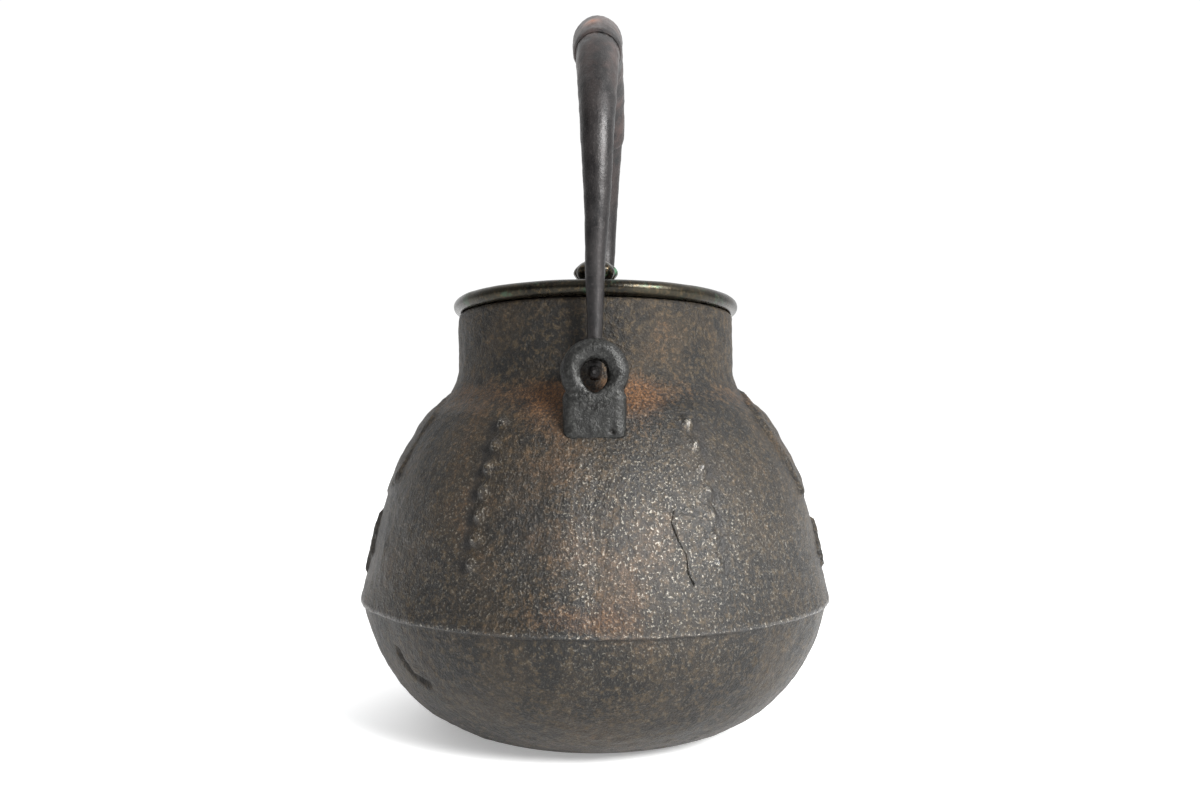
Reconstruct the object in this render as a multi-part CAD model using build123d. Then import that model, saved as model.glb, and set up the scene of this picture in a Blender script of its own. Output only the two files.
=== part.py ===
from build123d import *
import os
from math import asin, cos, degrees, radians, sin

os.makedirs("parts", exist_ok=True)

# A cast iron kettle for boiling water, with a hinged iron bail handle and a bronze lid.
# Millimetres. The origin is the middle of the flat base, +Z is up and +X is towards the spout.
# Front means the spout side, rear the side opposite to it.

# Body: an elliptical bowl below the casting seam, a slope, shoulder and neck above it
base_radius = 36.0
bowl_reach = 47.0
bowl_rise = 56.0
seam_height = 43.4
seam_step = 1.5
seam_lip = 1.3
slope_lean = -0.22
slope_radius = 72.8
slope_height = 85.4
shoulder_radius = 61.0
shoulder_height = 107.4
neck_radius = 50.2
neck_foot = 125.0
mouth_height = 145.0
mouth_round = 1.7
wall = 4.4
floor = 4.0

# Relief: one low panel on each flank, between two upright edges
panel_rise = 1.0
panel_bottom = 58.0
panel_top = 104.0
panel_edge_angle = 28.6

# Spout: burned on to the body in the mould, its root lying against the slope, curving up as it leaves it
spout_root_x = 58.0
spout_root_z = 84.0
spout_root_tilt = 35.0
spout_root_radius = 19.0
spout_middle_x = 84.0
spout_middle_z = 101.0
spout_middle_tilt = 42.0
spout_middle_radius = 12.8
spout_tip_x = 103.0
spout_tip_z = 125.0
spout_tip_tilt = 56.0
spout_tip_radius = 9.2
spout_wall = 3.6
spout_bore_reach = 12.0

# Ears: a keyhole plate each, cast first and then set in the mould, so that the body holds their roots
ear_middle_x = 62.8
ear_thickness = 7.6
ear_width = 20.9
ear_ring_height = 119.5
ear_foot_height = 98.5
ear_foot_width = 19.4
ear_corner = 3.0
ear_edge = 2.2
ear_hole_radius = 3.9
ear_hole_drop = 1.3
ear_hole_point = 5.0
ear_hole_shoulder = 40.0
ear_hole_edge = 1.4
ear_root_depth = 2.6

# Handle: two solid forged legs, each ending in a hook, let into a hollow grip over the crown
axis_height = 119.4
leg_x = 55.6
arch_half_width = 61.0
arch_shoulder_height = 184.0
hook_width = 4.3
hook_bend = 5.0
hook_tip_x = 66.0
hook_tip_width = 2.8
hook_tip_round = 0.9
leg_top_width = 14.8
leg_swell = 1.25
leg_flatness = 0.88
grip_half_angle = 45.0
grip_end_width = 16.2
grip_crown_width = 17.6
grip_wall = 1.6
grip_bore_reach = 1.02
tang_angle = 12.0
tang_start = 0.5
tang_clearance = 0.1

# Lid: cast bronze plate with a rolled bead round its edge and a flange that finds the mouth
lid_radius = 52.1
lid_bead = 5.3
lid_plate = 2.6
lid_dome = 4.6
lid_flange_wall = 1.9
lid_flange_depth = 7.0
lid_clearance = 0.6
lid_seat_margin = 1.0
lid_fall = 0.12

# Knob: a bud with five petals, its stem riveted over a washer so loosely that it still turns
knob_width = 17.0
knob_height = 13.6
knob_foot_width = 9.0
knob_petals = 5
petal_share = 0.29
petal_rise_share = 0.55
heart_share = 0.24
stem_width = 4.2
stem_clearance = 0.25
knob_play = 0.15
rosette_width = 25.0
rosette_thickness = 1.3
rosette_petals = 12
rosette_petal_radius = 2.6
washer_width = 10.0
washer_thickness = 1.0
rivet_width = 7.0
rivet_rise = 1.6
rivet_round = 1.28


def body_outline(inset, bottom, step, top):
    """Closed half section of the vessel, moved inwards by inset, from bottom up to top."""
    bowl_angle = degrees(asin((bowl_rise - seam_height) / bowl_rise))
    bowl = EllipticalCenterArc(
        (base_radius, bowl_rise), bowl_reach - inset, bowl_rise - bottom, 270, arc_size=90 - bowl_angle
    )
    seam = bowl @ 1
    slope = Spline(
        (seam.X + step, seam.Y + seam_lip),
        (slope_radius - inset, slope_height),
        (shoulder_radius - inset, shoulder_height),
        (neck_radius - inset, neck_foot),
        tangents=((slope_lean, 1), (0, 1)),
    )
    rest = Polyline(slope @ 1, (neck_radius - inset, top), (0, top), (0, bottom), bowl @ 0)
    return make_face(Plane.XZ * (bowl + Line(seam, slope @ 0) + slope + rest))


def spun(face):
    """The solid that a half section sweeps when it turns about Z."""
    return revolve(face, Axis.Z, 360)


def spout_section(x, z, tilt, radius):
    """A round section of the spout, square to its run."""
    run = (cos(radians(tilt)), 0, sin(radians(tilt)))
    return Plane(origin=(x, 0, z), x_dir=(0, 1, 0), z_dir=run) * Circle(radius)


def spout_run(inset, reach):
    """The spout's outer form, or its bore when inset, reaching past both ends by reach."""
    root_run = Vector(cos(radians(spout_root_tilt)), 0, sin(radians(spout_root_tilt)))
    tip_run = Vector(cos(radians(spout_tip_tilt)), 0, sin(radians(spout_tip_tilt)))
    sections = [
        spout_section(spout_root_x, spout_root_z, spout_root_tilt, spout_root_radius - inset),
        spout_section(spout_middle_x, spout_middle_z, spout_middle_tilt, spout_middle_radius - inset),
        spout_section(spout_tip_x, spout_tip_z, spout_tip_tilt, spout_tip_radius - inset),
    ]
    run = loft(sections)
    if reach > 0:
        run += extrude(sections[0], reach, dir=-root_run)
        run += extrude(sections[-1], reach, dir=tip_run)
    return run


def flank_panel(side):
    """A low raised panel that follows the body's slope between its two upright edges."""
    shell = spun(body_outline(-panel_rise, 0, seam_step, mouth_height))
    band = Pos(0, 0, panel_bottom) * extrude(Circle(2 * slope_radius), panel_top - panel_bottom)
    half_turn = radians(90 - panel_edge_angle)
    far = 2 * slope_radius
    edges = [(0, 0), (far * sin(half_turn), side * far * cos(half_turn)), (far, side * far)]
    edges += [(-far, side * far), (-far * sin(half_turn), side * far * cos(half_turn))]
    wedge = extrude(make_face(Polyline(*edges, close=True)), mouth_height)
    return shell & band & wedge


def make_ear(facing):
    """A keyhole-shaped ear, its root ending inside the body's wall; facing is 1 at the front."""
    ring = Pos(0, ear_ring_height) * Circle(ear_width / 2)
    foot_rise = ear_ring_height - ear_foot_height
    foot = make_face(
        Polyline(
            (-ear_width / 2, ear_ring_height),
            (ear_width / 2, ear_ring_height),
            (ear_foot_width / 2, ear_foot_height),
            (-ear_foot_width / 2, ear_foot_height),
            close=True,
        )
    )
    foot = fillet(foot.vertices().sort_by(Axis.Y)[:2], ear_corner)
    outline = Plane.YZ * (ring + foot)
    plate = extrude(outline, ear_thickness / 2, both=True)
    rims = plate.faces().sort_by(Axis.X)[0].edges() + plate.faces().sort_by(Axis.X)[-1].edges()
    plate = fillet(rims, ear_edge)
    hole_height = ear_ring_height - ear_hole_drop
    hole = Pos(0, hole_height) * Circle(ear_hole_radius)
    flank = radians(ear_hole_shoulder)
    hole += make_face(
        Polyline(
            (-ear_hole_radius * cos(flank), hole_height - ear_hole_radius * sin(flank)),
            (0, hole_height - ear_hole_point),
            (ear_hole_radius * cos(flank), hole_height - ear_hole_radius * sin(flank)),
            (0, hole_height),
            close=True,
        )
    )
    plate -= extrude(Plane.YZ * hole, ear_thickness, both=True)
    sides = plate.faces().sort_by(Axis.X)
    mouths = sides[0].inner_wires() + sides[-1].inner_wires()
    plate = fillet([edge for mouth in mouths for edge in mouth.edges()], ear_hole_edge)
    ear = Pos(facing * ear_middle_x, 0, 0) * plate
    return ear - spun(body_outline(ear_root_depth, 0, 0, mouth_height))


def make_body(ears):
    """The vessel, open where the spout stands on it, with pockets where it was cast round the ears."""
    body = spun(body_outline(0, 0, seam_step, mouth_height))
    rim = body.edges().filter_by(GeomType.CIRCLE).sort_by(Axis.Z)[-1]
    body = fillet(rim, mouth_round)
    body += flank_panel(1) + flank_panel(-1)
    body -= spun(body_outline(wall, floor, 0, 2 * mouth_height))
    body -= spout_run(spout_wall, spout_bore_reach)
    for ear in ears:
        body -= ear
    return body


def make_spout(ears):
    """The spout, its root cut to the body's slope and round the ear that it reaches."""
    spout = spout_run(0, 0) - spun(body_outline(0, 0, seam_step, mouth_height))
    spout -= spout_run(spout_wall, spout_bore_reach)
    for ear in ears:
        spout -= ear
    return spout


def arch_section(angle, width):
    """An oval section of the handle's arch, at an angle from its crown towards the front."""
    turn = radians(angle)
    centre = (arch_half_width * sin(turn), 0, arch_shoulder_height + arch_half_width * cos(turn))
    plane = Plane(origin=centre, x_dir=(0, 1, 0), z_dir=(cos(turn), 0, -sin(turn)))
    return plane * Ellipse(width / 2, width * leg_flatness / 2)


def grip_width(angle):
    """The grip's outer width, fullest at the crown."""
    return grip_crown_width - (grip_crown_width - grip_end_width) * (angle / grip_half_angle) ** 2


def make_grip():
    """The hollow grip, rolled from sheet, open at both ends where the legs enter."""
    angles = [grip_half_angle * step / 4 for step in range(-4, 5)]
    outer = loft([arch_section(angle, grip_width(angle)) for angle in angles])
    bore = loft([arch_section(angle * grip_bore_reach, grip_width(angle) - 2 * grip_wall) for angle in angles])
    return outer - bore


def leg_width(share):
    """The leg's width, from the top of the hook at 0 to the grip at 1."""
    return hook_width + (leg_top_width - hook_width) * share**leg_swell


def make_leg():
    """The front leg: a tapering forged bar with a tang at the top and a hook at the bottom."""
    bend_top = (leg_x, 0, axis_height + hook_bend)
    shoulder = (arch_half_width, 0, arch_shoulder_height)
    rise = Spline(bend_top, shoulder, tangents=((0, 0, 1), (0, 0, 1)))
    arc_length = radians(90 - grip_half_angle) * arch_half_width
    whole = rise.length + arc_length
    sections = []
    for step in range(6):
        share = step / 6
        place = rise ^ share
        width = leg_width(share * rise.length / whole)
        flatness = 1 + (leg_flatness - 1) * share
        plane = Plane(origin=place.position, x_dir=(0, 1, 0), z_dir=rise % share)
        sections.append(plane * Ellipse(width / 2, width * flatness / 2))
    for step in range(5):
        share = step / 4
        width = leg_width((rise.length + share * arc_length) / whole)
        sections.append(arch_section(90 - share * (90 - grip_half_angle), width))
    leg = loft(sections)

    tang_angles = [grip_half_angle + tang_start, grip_half_angle - tang_angle / 2, grip_half_angle - tang_angle]
    slack = 2 * grip_wall + 2 * tang_clearance
    leg += loft([arch_section(angle, grip_width(angle) - slack) for angle in tang_angles])

    bend_end = (leg_x + hook_bend, 0, axis_height)
    middle = hook_bend * (1 - cos(radians(45)))
    bend = ThreePointArc(bend_top, (leg_x + middle, 0, axis_height + middle), bend_end)
    leg += sweep(Plane(origin=bend_top, z_dir=(0, 0, -1)) * Circle(hook_width / 2), bend)
    pin = Plane(origin=bend_end, z_dir=(1, 0, 0)) * Circle(hook_width / 2)
    tip = Plane(origin=(hook_tip_x, 0, axis_height), z_dir=(1, 0, 0)) * Circle(hook_tip_width / 2)
    point = loft([pin, tip])
    point = fillet(point.faces().sort_by(Axis.X)[-1].edges(), hook_tip_round)
    return leg + point


def make_lid():
    """The bronze lid: domed plate, rolled bead and locating flange, bored for the knob's stem."""
    bead_middle = lid_radius - lid_bead / 2
    bead = Pos(bead_middle, mouth_height + lid_bead / 2) * Circle(lid_bead / 2)
    flange_radius = neck_radius - wall - lid_clearance
    flange_inner = flange_radius - lid_flange_wall
    plate_top = mouth_height + lid_plate
    under_seat = (washer_width / 2 + lid_seat_margin, mouth_height + lid_dome)
    upper_seat = (rosette_width / 2 + lid_seat_margin, plate_top + lid_dome)
    plate = make_face(
        Polyline(under_seat, (0, mouth_height + lid_dome), (0, plate_top + lid_dome), upper_seat)
        + Spline(upper_seat, (bead_middle, plate_top), tangents=((1, 0), (1, -lid_fall)))
        + Polyline((bead_middle, plate_top), (bead_middle, mouth_height), (flange_inner, mouth_height))
        + Spline((flange_inner, mouth_height), under_seat, tangents=((-1, lid_fall), (-1, 0)))
    )
    flange = Pos(flange_inner, mouth_height - lid_flange_depth) * Rectangle(
        lid_flange_wall, lid_flange_depth + 1, align=Align.MIN
    )
    lid = spun(Plane.XZ * (bead + plate + flange))
    bore = Pos(0, 0, mouth_height) * Cylinder(stem_width / 2 + stem_clearance, 4 * lid_dome)
    return lid - bore


def make_rosette():
    """A washer with petals, pressed from bronze sheet, between the knob and the lid."""
    base = mouth_height + lid_plate + lid_dome
    petal_turn = 360 / rosette_petals
    petal = Pos(rosette_width / 2 - rosette_petal_radius, 0) * Circle(rosette_petal_radius)
    petals = [Rot(0, 0, petal_turn * number) * petal for number in range(rosette_petals)]
    outline = Circle(rosette_width / 2 - rosette_petal_radius) + petals
    rosette = Pos(0, 0, base) * extrude(outline, rosette_thickness)
    bore = Pos(0, 0, base) * Cylinder(stem_width / 2 + stem_clearance, 4 * rosette_thickness)
    return rosette - bore


def make_washer():
    """The plain washer under the lid that the stem is riveted over."""
    top = mouth_height + lid_dome
    ring = Circle(washer_width / 2) - Circle(stem_width / 2 + stem_clearance)
    return Pos(0, 0, top - washer_thickness) * extrude(ring, washer_thickness)


def make_knob():
    """The bud-shaped knob with its stem and riveted end in one piece."""
    foot = mouth_height + lid_plate + lid_dome + rosette_thickness + knob_play
    top = foot + knob_height
    petal_radius = petal_share * knob_width
    petal_ring = knob_width / 2 - petal_radius
    petal_height = foot + petal_rise_share * knob_height
    bud = Pos(0, 0, foot) * Cylinder(
        knob_foot_width / 2, knob_height / 2, align=(Align.CENTER, Align.CENTER, Align.MIN)
    )
    for number in range(knob_petals):
        petal = Pos(petal_ring, 0, petal_height) * Sphere(petal_radius)
        bud += Rot(0, 0, 360 / knob_petals * number) * petal
    heart = heart_share * knob_width
    bud += Pos(0, 0, top - heart) * Sphere(heart)
    end = mouth_height + lid_dome - washer_thickness - knob_play
    bud += Pos(0, 0, end) * Cylinder(
        stem_width / 2, petal_height - end, align=(Align.CENTER, Align.CENTER, Align.MIN)
    )
    rivet = Pos(0, 0, end - rivet_rise) * Cylinder(
        rivet_width / 2, rivet_rise, align=(Align.CENTER, Align.CENTER, Align.MIN)
    )
    rivet = fillet(rivet.edges().sort_by(Axis.Z)[0], rivet_round)
    return bud + rivet


nodes = {"ear_rear": make_ear(-1), "ear_front": make_ear(1)}
ears = list(nodes.values())
nodes["kettle_body"] = make_body(ears)
nodes["kettle_spout"] = make_spout(ears)
nodes["handle_grip"] = make_grip()
nodes["handle_leg_front"] = make_leg()
nodes["handle_leg_rear"] = mirror(nodes["handle_leg_front"], Plane.YZ)
nodes["lid"] = make_lid()
nodes["lid_knob"] = make_knob()
nodes["knob_rosette"] = make_rosette()
nodes["knob_washer"] = make_washer()
for name, shape in nodes.items():
    export_step(shape, f"parts/{name}.step")
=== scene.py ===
from math import atan2, cos, degrees, exp, hypot, pi, radians, sin

import bpy
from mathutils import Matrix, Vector, noise


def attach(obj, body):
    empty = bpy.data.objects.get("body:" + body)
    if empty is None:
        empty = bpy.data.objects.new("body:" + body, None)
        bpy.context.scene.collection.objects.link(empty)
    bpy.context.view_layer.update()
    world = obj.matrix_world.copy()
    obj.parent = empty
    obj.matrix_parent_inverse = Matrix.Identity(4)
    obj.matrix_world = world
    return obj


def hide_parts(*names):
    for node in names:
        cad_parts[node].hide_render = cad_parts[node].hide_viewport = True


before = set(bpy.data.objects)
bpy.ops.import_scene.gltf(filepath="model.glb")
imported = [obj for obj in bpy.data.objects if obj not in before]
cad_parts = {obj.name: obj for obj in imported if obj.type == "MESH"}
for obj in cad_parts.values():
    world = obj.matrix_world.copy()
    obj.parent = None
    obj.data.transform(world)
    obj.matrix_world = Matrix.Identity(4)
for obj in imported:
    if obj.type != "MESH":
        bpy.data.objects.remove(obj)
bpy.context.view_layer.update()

mm = 0.001

# The kettle stands on its base at the origin, with the spout towards +X.
# Rear is -X, where the nearer ear is. Lengths in the dictionaries are millimetres.


# Working helpers


def clearSelection():
    if bpy.context.mode != "OBJECT":
        bpy.ops.object.mode_set(mode="OBJECT")
    bpy.ops.object.select_all(action="DESELECT")


def pick(*objects):
    clearSelection()
    for thing in objects:
        thing.select_set(True)
    bpy.context.view_layer.objects.active = objects[0]
    return objects[0]


def smoothStep(low, high, value):
    share = min(max((value - low) / (high - low), 0.0), 1.0)
    return share * share * (3 - 2 * share)


def bump(centre, width, value):
    return exp(-(((value - centre) / width) ** 2))


def drawLine(name, points):
    # one vertex, extruded from point to point in the XZ plane
    clearSelection()
    bpy.ops.mesh.primitive_plane_add(size=mm)
    line = bpy.context.object
    line.name = name
    bpy.ops.object.mode_set(mode="EDIT")
    bpy.ops.mesh.merge(type="CENTER")
    bpy.ops.transform.translate(value=(points[0][0] * mm, 0, points[0][1] * mm))
    for here, there in zip(points, points[1:]):
        step = ((there[0] - here[0]) * mm, 0, (there[1] - here[1]) * mm)
        bpy.ops.mesh.extrude_vertices_move(TRANSFORM_OT_translate={"value": step})
    return line


def spinRound(line, segments):
    bpy.ops.mesh.select_all(action="SELECT")
    bpy.ops.mesh.spin(steps=segments, angle=2 * pi, center=(0, 0, 0), axis=(0, 0, 1))
    bpy.ops.mesh.select_all(action="SELECT")
    bpy.ops.mesh.remove_doubles(threshold=0.002 * mm)
    bpy.ops.mesh.normals_make_consistent(inside=False)
    bpy.ops.object.mode_set(mode="OBJECT")
    return line


def drawTube(name, points, widths, sides):
    # a curve with a width at each point, made a mesh
    clearSelection()
    bpy.ops.curve.primitive_nurbs_path_add()
    tube = bpy.context.object
    tube.name = name
    curve = tube.data
    curve.splines.clear()
    spline = curve.splines.new("POLY")
    spline.points.add(len(points) - 1)
    for dot, place, width in zip(spline.points, points, widths):
        dot.co = (place[0] * mm, place[1] * mm, place[2] * mm, 1)
        dot.radius = width / 2
    curve.bevel_depth = mm
    # a round bevel has four sides and two more for each step of its resolution
    curve.bevel_resolution = sides // 2 - 2
    curve.use_fill_caps = True
    bpy.ops.object.convert(target="MESH")
    return bpy.context.object


def applyModifier(piece, kind, **settings):
    pick(piece)
    bpy.ops.object.modifier_add(type=kind)
    modifier = piece.modifiers[-1]
    for name, value in settings.items():
        setattr(modifier, name, value)
    bpy.ops.object.modifier_apply(modifier=modifier.name)


def combine(piece, tool, operation):
    applyModifier(piece, "BOOLEAN", object=tool, operation=operation, solver="EXACT")
    bpy.data.objects.remove(tool)


def roughen(piece, name, grainSize, depth, detail):
    # soft noise pushes the surface in and out by up to half of depth
    texture = bpy.data.textures.new(name, type="CLOUDS")
    texture.noise_scale = grainSize * mm
    texture.noise_depth = detail
    applyModifier(piece, "DISPLACE", texture=texture, texture_coords="LOCAL", strength=depth * mm)


def finish(piece, body, slotName, material, *cadNodes):
    pick(piece)
    bpy.ops.object.transform_apply(location=True, rotation=True, scale=True)
    piece.data.materials.clear()
    piece.data.materials.append(material)
    bpy.ops.object.shade_smooth()
    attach(piece, body)
    if cadNodes:
        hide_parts(*cadNodes)
    return piece


# Materials


def shade(hexColour):
    # sRGB hex to linear
    parts = [int(hexColour[place:place + 2], 16) / 255 for place in (0, 2, 4)]
    return [part / 12.92 if part <= 0.04045 else ((part + 0.055) / 1.055) ** 2.4 for part in parts] + [1]


def grey(value):
    return (value, value, value, 1)


def newMaterial(name):
    material = bpy.data.materials.new(name)
    material.use_nodes = True
    tree = material.node_tree
    tree.nodes.clear()
    return material, tree


def addNode(tree, kind, sockets, **settings):
    # in sockets, another node's output is linked and anything else is set as it is
    node = tree.nodes.new(kind)
    for key, value in settings.items():
        setattr(node, key, value)
    for key, value in sockets.items():
        if isinstance(value, bpy.types.NodeSocket):
            tree.links.new(value, node.inputs[key])
        else:
            node.inputs[key].default_value = value
    return node


def ramp(tree, source, low, high, first=grey(0), second=grey(1)):
    node = addNode(tree, "ShaderNodeValToRGB", {"Fac": source})
    node.color_ramp.elements[0].position = low
    node.color_ramp.elements[1].position = high
    node.color_ramp.elements[0].color = first
    node.color_ramp.elements[1].color = second
    return node.outputs["Color"]


def mixColour(tree, factor, first, second):
    # a colour mix has its factor at 0 and its colours at 6 and 7, and gives its colour at 2
    return addNode(tree, "ShaderNodeMix", {0: factor, 6: first, 7: second}, data_type="RGBA").outputs[2]


def calculate(tree, operation, first, second, clamp):
    node = addNode(tree, "ShaderNodeMath", {0: first, 1: second}, operation=operation, use_clamp=clamp)
    return node.outputs[0]


def times(tree, first, second, clamp=False):
    return calculate(tree, "MULTIPLY", first, second, clamp)


def plus(tree, first, second, clamp=False):
    return calculate(tree, "ADD", first, second, clamp)


def minus(tree, first, second, clamp=False):
    return calculate(tree, "SUBTRACT", first, second, clamp)


def objectPlace(tree):
    return addNode(tree, "ShaderNodeTexCoord", {}).outputs["Object"]


def grain(tree, place, size, detail=4, roughness=0.55, distortion=0.0):
    # noise whose features are about size millimetres across
    sockets = {"Scale": 1 / (size * mm), "Detail": detail, "Roughness": roughness, "Distortion": distortion}
    return addNode(tree, "ShaderNodeTexNoise", {"Vector": place, **sockets}).outputs["Fac"]


def readMarks(tree):
    # the shares of rust, dark, worn and smooth that paintMarks puts on a piece
    marks = addNode(tree, "ShaderNodeAttribute", {}, attribute_name="marks")
    split = addNode(tree, "ShaderNodeSeparateColor", {"Color": marks.outputs["Color"]})
    return *split.outputs, marks.outputs["Alpha"]


def unevenness(tree, heights, depth, strength):
    sockets = {"Height": heights, "Distance": depth * mm, "Strength": strength}
    return addNode(tree, "ShaderNodeBump", sockets).outputs["Normal"]


def closeMaterial(tree, surface):
    shader = addNode(tree, "ShaderNodeBsdfPrincipled", surface)
    addNode(tree, "ShaderNodeOutputMaterial", {"Surface": shader.outputs["BSDF"]})


castIron = {
    "dark": "0c0a08",
    "middle": "241d14",
    "light": "443928",
    "paintedGlint": "9a958a",
    "rust": "5f3d1b",
    "deepRust": "2b1a0c",
    "pit": "120f0d",
    "darkMarkAndShade": "110e0c",
    "metallic": 0.3,
    "rough": 0.58,
    "sheen": 0.3,
    "seasoning": 0.5,
    "seasoningRough": 0.3,
    "depth": 0.95,
    "sandGrain": 0.75,
    "mottle": 1.9,
    "orangePeel": 3.4,
    "patches": 24.0,
}


def sandCastIron():
    # Grey iron cast in a sand mould, seasoned by years of boiling. The sand leaves a fine broken grain
    # that scatters the light into small sparks, helped by pale painted glints in the colour, and the
    # seasoning leaves brown and orange rust between.
    material, tree = newMaterial("sand_cast_iron_seasoned")
    look = castIron
    place = objectPlace(tree)
    rust, dark, worn, smooth = readMarks(tree)
    patches = grain(tree, place, look["patches"], 5, 0.62, 0.4)
    mottle = grain(tree, place, look["mottle"], 5, 0.7, 0.3)
    sand = grain(tree, place, look["sandGrain"], 3, 0.65)
    peel = grain(tree, place, look["orangePeel"], 3, 0.55, 0.6)

    cloud = plus(tree, times(tree, patches, 0.6), times(tree, mottle, 0.4))
    base = mixColour(tree, ramp(tree, cloud, 0.43, 0.56), shade(look["dark"]), shade(look["middle"]))
    lightShare = times(tree, ramp(tree, mottle, 0.5, 0.66), 0.65)
    base = mixColour(tree, lightShare, base, shade(look["light"]))

    broken = times(tree, minus(tree, mottle, 0.5), 1.3)
    broken = plus(tree, broken, times(tree, minus(tree, patches, 0.5), 1.2))
    rusty = times(tree, ramp(tree, plus(tree, rust, broken), 0.22, 0.95), 0.85)
    rustColour = mixColour(tree, ramp(tree, sand, 0.4, 0.62), shade(look["deepRust"]), shade(look["rust"]))
    base = mixColour(tree, rusty, base, rustColour)
    # pale specks painted into the colour are painted glints, most where the marks say worn
    paintedGlint = times(tree, ramp(tree, sand, 0.58, 0.66), plus(tree, 0.1, worn))
    base = mixColour(tree, times(tree, paintedGlint, 0.8, True), base, shade(look["paintedGlint"]))
    pit = times(tree, ramp(tree, sand, 0.3, 0.44, grey(1), grey(0)), 0.75)
    base = mixColour(tree, pit, base, shade(look["pit"]))
    # the dark share mixes dark marks with painted shade: painted shadow under the seam's ledge, in the
    # flaw's groove, outside each row of cast points and below each point
    base = mixColour(tree, dark, base, shade(look["darkMarkAndShade"]))

    rough = minus(tree, look["rough"], times(tree, worn, 0.24))
    heights = plus(tree, times(tree, sand, 0.6), times(tree, peel, 0.7))
    rubbed = minus(tree, 1.0, times(tree, smooth, 0.75), True)
    normal = unevenness(tree, heights, look["depth"], rubbed)
    # the baked-on seasoning is a thin clear skin, worn brightest where the kettle is rubbed
    surface = {
        "Base Color": base,
        "Roughness": plus(tree, rough, times(tree, rusty, 0.15), True),
        "Metallic": minus(tree, look["metallic"], times(tree, rusty, 0.45), True),
        "Specular IOR Level": look["sheen"],
        "Normal": normal,
        "Coat Weight": times(tree, plus(tree, 0.15, worn), look["seasoning"], True),
        "Coat Roughness": look["seasoningRough"],
        "Coat Normal": normal,
    }
    closeMaterial(tree, surface)
    return material


darkIron = {
    "dark": "0c0c0b",
    "middle": "191918",
    "light": "4c4c49",
    "rust": "6e3f1c",
    "darkMarkAndShade": "100e0d",
    "metallic": 0.5,
    "depth": 0.45,
    "sandGrain": 0.9,
    "cloud": 4.0,
}


def handledCastIron():
    # The ears are cast iron too, but hands and the handle keep them free of rust:
    # dark grey with a soft metal sheen on the round edges and pores left by the sand.
    material, tree = newMaterial("cast_iron_handled_smooth")
    look = darkIron
    place = objectPlace(tree)
    rust, dark, _, _ = readMarks(tree)
    cloud = grain(tree, place, look["cloud"], 5, 0.6)
    pores = grain(tree, place, look["sandGrain"], 3, 0.65)
    base = mixColour(tree, ramp(tree, cloud, 0.35, 0.65), shade(look["dark"]), shade(look["middle"]))
    lightShare = times(tree, ramp(tree, pores, 0.5, 0.75), 0.5)
    base = mixColour(tree, lightShare, base, shade(look["light"]))
    base = mixColour(tree, rust, base, shade(look["rust"]))
    # dark joints where the mould met, and painted shade in the pore
    base = mixColour(tree, dark, base, shade(look["darkMarkAndShade"]))
    heights = plus(tree, pores, times(tree, cloud, 0.8))
    surface = {
        "Base Color": base,
        "Roughness": ramp(tree, cloud, 0.3, 0.7, grey(0.28), grey(0.5)),
        "Metallic": look["metallic"],
        "Normal": unevenness(tree, heights, look["depth"], 0.7),
    }
    closeMaterial(tree, surface)
    return material


forged = {
    "dark": "121112",
    "middle": "211e1e",
    "light": "413d3c",
    "brown": "453632",
    "rust": "7d4825",
    "paintedShade": "0f0d0d",
    "metallic": 0.5,
    "depth": 0.4,
    "streak": 3.5,
    "cloud": 9.0,
    "scale": 0.8,
}


def forgedIron():
    # Wrought by hammer, blackened with lacquer on hot iron and polished by hands:
    # long soft highlights broken by shallow hammer facets, purple-brown where the black has gone.
    material, tree = newMaterial("forged_iron_blackened")
    look = forged
    place = objectPlace(tree)
    rust, dark, worn, _ = readMarks(tree)
    # the streaks run up and down, as the hammer drew the iron out
    along = addNode(tree, "ShaderNodeMapping", {"Vector": place, "Scale": (1, 1, 0.35)})
    streak = grain(tree, along.outputs["Vector"], look["streak"], 6, 0.65)
    cloud = grain(tree, place, look["cloud"], 4, 0.6)
    fine = grain(tree, place, look["scale"], 3, 0.6)
    base = mixColour(tree, ramp(tree, streak, 0.35, 0.62), shade(look["dark"]), shade(look["middle"]))
    lightShare = times(tree, ramp(tree, fine, 0.55, 0.75), 0.5)
    base = mixColour(tree, lightShare, base, shade(look["light"]))
    brown = times(tree, ramp(tree, cloud, 0.42, 0.62), worn)
    base = mixColour(tree, times(tree, brown, 0.7), base, shade(look["brown"]))
    base = mixColour(tree, rust, base, shade(look["rust"]))
    # painted shade on the leg where the hook sits inside the ear
    base = mixColour(tree, dark, base, shade(look["paintedShade"]))
    heights = plus(tree, times(tree, fine, 0.35), streak)
    surface = {
        "Base Color": base,
        "Roughness": ramp(tree, streak, 0.3, 0.7, grey(0.3), grey(0.55)),
        "Metallic": look["metallic"],
        "Normal": unevenness(tree, heights, look["depth"], 0.55),
    }
    closeMaterial(tree, surface)
    return material


bronze = {
    "dark": "151411",
    "middle": "2a271f",
    "warm": "5d4d36",
    "green": "3a6248",
    "metallic": 0.85,
    "depth": 0.25,
    "cloud": 12.0,
    "spots": 6.0,
    "fine": 1.2,
}


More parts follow.
